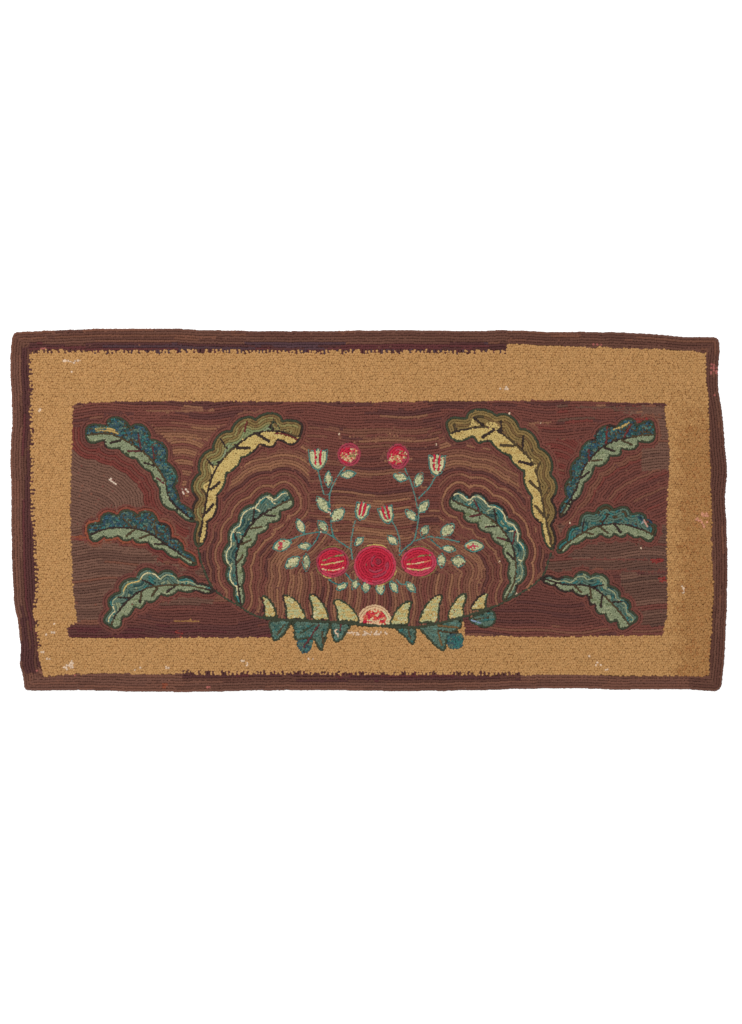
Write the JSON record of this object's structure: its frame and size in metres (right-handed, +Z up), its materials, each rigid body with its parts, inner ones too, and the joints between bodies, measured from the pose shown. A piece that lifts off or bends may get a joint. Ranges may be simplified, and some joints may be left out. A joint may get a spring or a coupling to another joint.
{
  "type": "hooked rug",
  "caption": "Flat rectangular hooked rug of low wool loops with a gently uneven outline and rounded corners, a dark frame, a gold border and a brown field of leaves and roses.",
  "frame": {"origin": "middle of the underside, where the rug rests on the floor", "axes": "+X along the long side, to the right as the flowers stand upright, +Y along the short side, towards the flowers' tops, +Z up out of the pile"},
  "size_m": [1.52, 0.769, 0.008],
  "materials": {
    "wool_loops": "matt wool strips in hooked loops, in browns, plum, gold, greens, teal, pinks and crimson",
    "linen_ground": "plain-woven undyed linen, hemmed to the back"
  },
  "bodies": {
    "root": {"rug": "wool_loops"}
  },
  "joints": []
}
